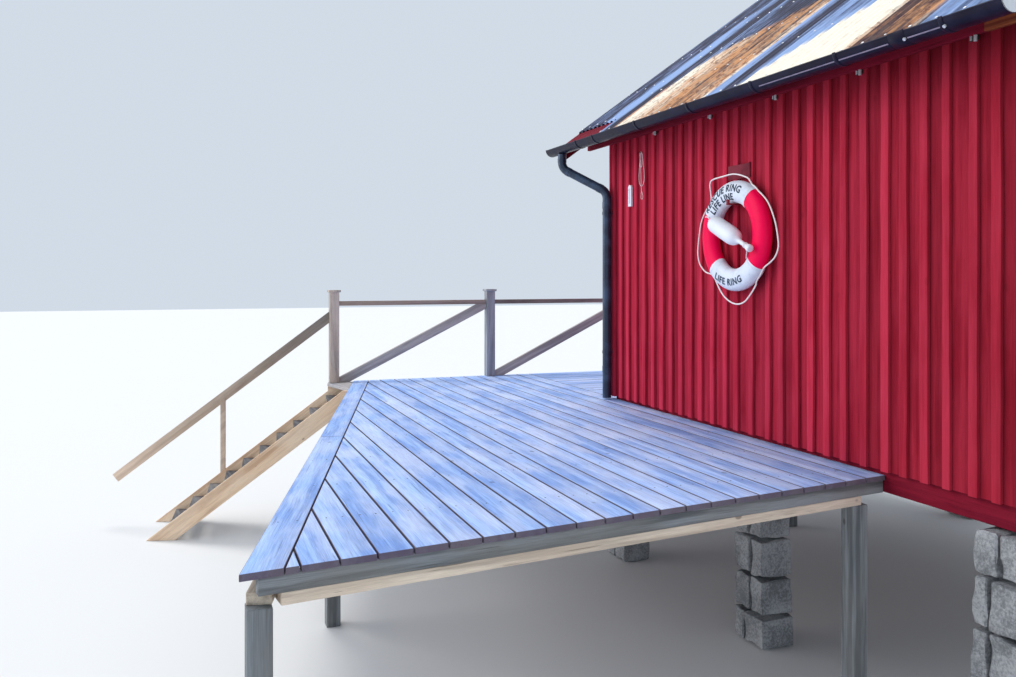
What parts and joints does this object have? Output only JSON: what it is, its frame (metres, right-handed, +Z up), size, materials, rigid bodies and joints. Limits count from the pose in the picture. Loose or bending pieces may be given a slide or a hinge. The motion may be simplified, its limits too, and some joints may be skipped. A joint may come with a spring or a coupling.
{
  "type": "boathouse",
  "caption": "Small board-and-batten boathouse on piers with a corrugated gable roof, a timber deck with railing and a stair down to the water.",
  "frame": {"origin": "under the middle of the whole part's box, at the water level where piers, legs and stringers stand", "axes": "+X along the deck-side wall from the lake gable to the land gable, +Y from the deck side across the building, +Z up"},
  "size_m": [6.848, 8.5546, 5.2642],
  "materials": {
    "pier_stone": "rough grey stone blocks",
    "dark_red_timber": "matte dark red paint on sawn timber",
    "red_cladding": "matte red distemper on sawn boards",
    "roof_sheet": "weathered corrugated steel with rust streaks",
    "dark_gutter_steel": "dark blue-grey coated steel",
    "weathered_deck": "silver-grey weathered deck boards",
    "deck_frame_timber": "grey-brown weathered timber",
    "rail_timber": "grey-brown planed timber",
    "stair_timber": "newer yellowish timber",
    "lifebuoy_skin": "glossy red and white skin",
    "white_plastic": "white plastic",
    "white_cord": "laid white cord"
  },
  "bodies": {
    "root": {"stone_piers": "pier_stone", "sill_frame": "dark_red_timber", "front_wall": "red_cladding", "back_wall": "red_cladding", "land_gable_wall": "red_cladding", "lake_gable_left": "red_cladding", "lake_gable_right": "red_cladding", "lake_gable_top": "red_cladding", "door_frame": "dark_red_timber", "door_leaves": "red_cladding", "front_rafters": "dark_red_timber", "back_rafters": "dark_red_timber", "ridge_board": "dark_red_timber", "front_boarding": "dark_red_timber", "back_boarding": "dark_red_timber", "fascia_boards": "dark_red_timber", "barge_boards": "dark_red_timber", "front_sheet_1": "roof_sheet", "front_sheet_2": "roof_sheet", "front_sheet_3": "roof_sheet", "front_sheet_4": "roof_sheet", "front_sheet_5": "roof_sheet", "front_sheet_6": "roof_sheet", "back_sheets": "roof_sheet", "ridge_cap": "roof_sheet", "gutters": "dark_gutter_steel", "gutter_brackets": "dark_gutter_steel", "downpipes": "dark_gutter_steel", "side_deck": "weathered_deck", "lake_deck": "weathered_deck", "deck_border": "weathered_deck", "deck_joists": "deck_frame_timber", "deck_beams": "deck_frame_timber", "deck_legs": "deck_frame_timber", "rail_posts": "rail_timber", "top_rails": "rail_timber", "rail_braces": "rail_timber", "stair_stringers": "stair_timber", "stair_treads": "stair_timber", "stair_handrail": "rail_timber", "lifebuoy_ring": "lifebuoy_skin", "lifebuoy_float": "white_plastic", "grab_line": "white_cord", "wall_hooks": "dark_gutter_steel", "cord_hank": "white_cord", "thermometer": "white_plastic"}
  },
  "joints": []
}
